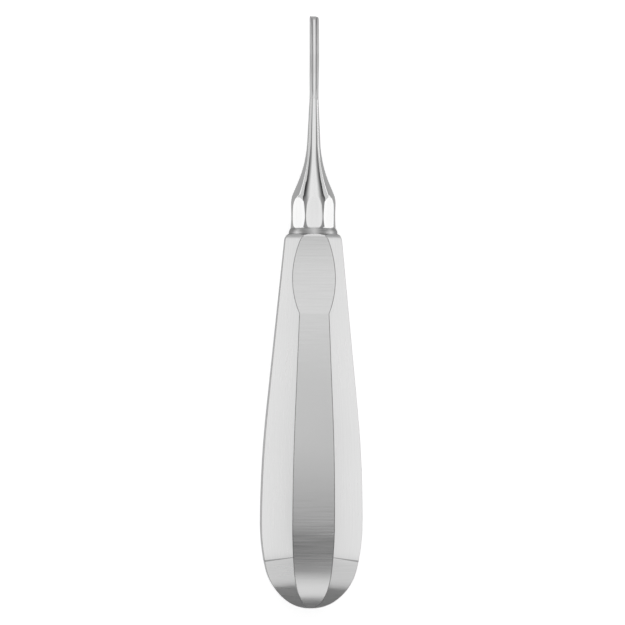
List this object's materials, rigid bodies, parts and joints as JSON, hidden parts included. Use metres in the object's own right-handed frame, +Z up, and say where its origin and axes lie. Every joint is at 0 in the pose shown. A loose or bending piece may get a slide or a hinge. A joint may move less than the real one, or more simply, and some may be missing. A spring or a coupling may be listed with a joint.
{
  "type": "dental elevator",
  "caption": "Hand instrument with a pear-shaped eight-sided metal handle, a thumb scoop, a slender shank and a bent gouge blade.",
  "frame": {"origin": "centre of the bounding box at its bottom, on the surface that the tool lies on", "axes": "+Y along the tool towards the blade, +Z up, with the thumb scoop and the gouge facing up, +X to the right seen from above"},
  "size_m": [0.0246, 0.144, 0.0256],
  "materials": {
    "satin_steel": "satin, brushed",
    "polished_steel": "mirror polished"
  },
  "bodies": {
    "root": {"handle": "satin_steel", "working_end": "polished_steel"}
  },
  "joints": []
}
